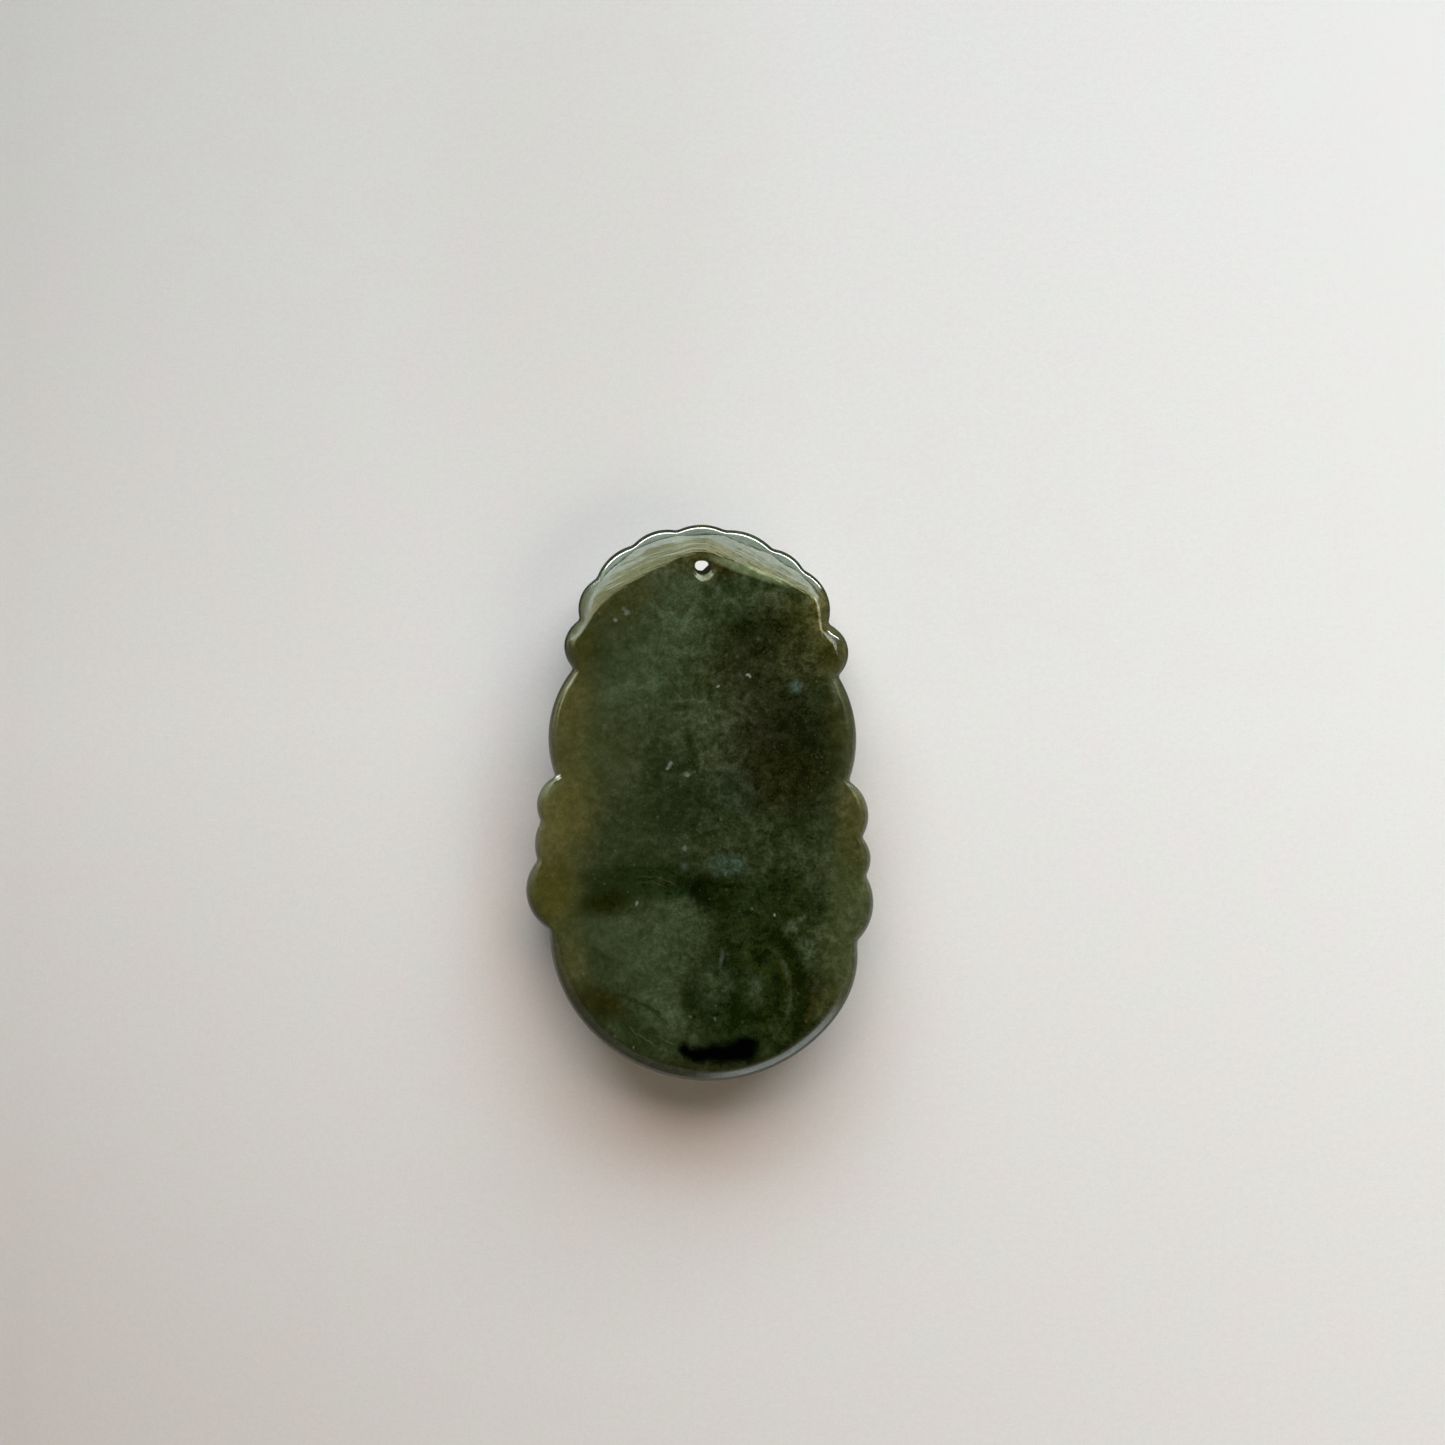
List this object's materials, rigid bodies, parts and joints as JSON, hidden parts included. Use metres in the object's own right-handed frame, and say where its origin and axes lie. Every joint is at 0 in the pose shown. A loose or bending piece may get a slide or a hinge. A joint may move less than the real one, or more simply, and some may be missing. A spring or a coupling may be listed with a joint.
{
  "type": "jade zodiac pendant",
  "caption": "Flat carved jade pendant with a lobed outline, drilled near its top for a cord; plain polished back, front carved with a ring of zodiac bosses, rays and a lotus.",
  "frame": {"origin": "centre of the bounding box in plan, on the surface that the carved front lies on", "axes": "+X right and +Y towards the drilled end as the plain back is looked at, +Z out of the plain back"},
  "size_m": [0.0362, 0.058, 0.0074],
  "materials": {
    "jade": "polished"
  },
  "bodies": {
    "root": {"jade_pendant": "jade"}
  },
  "joints": []
}
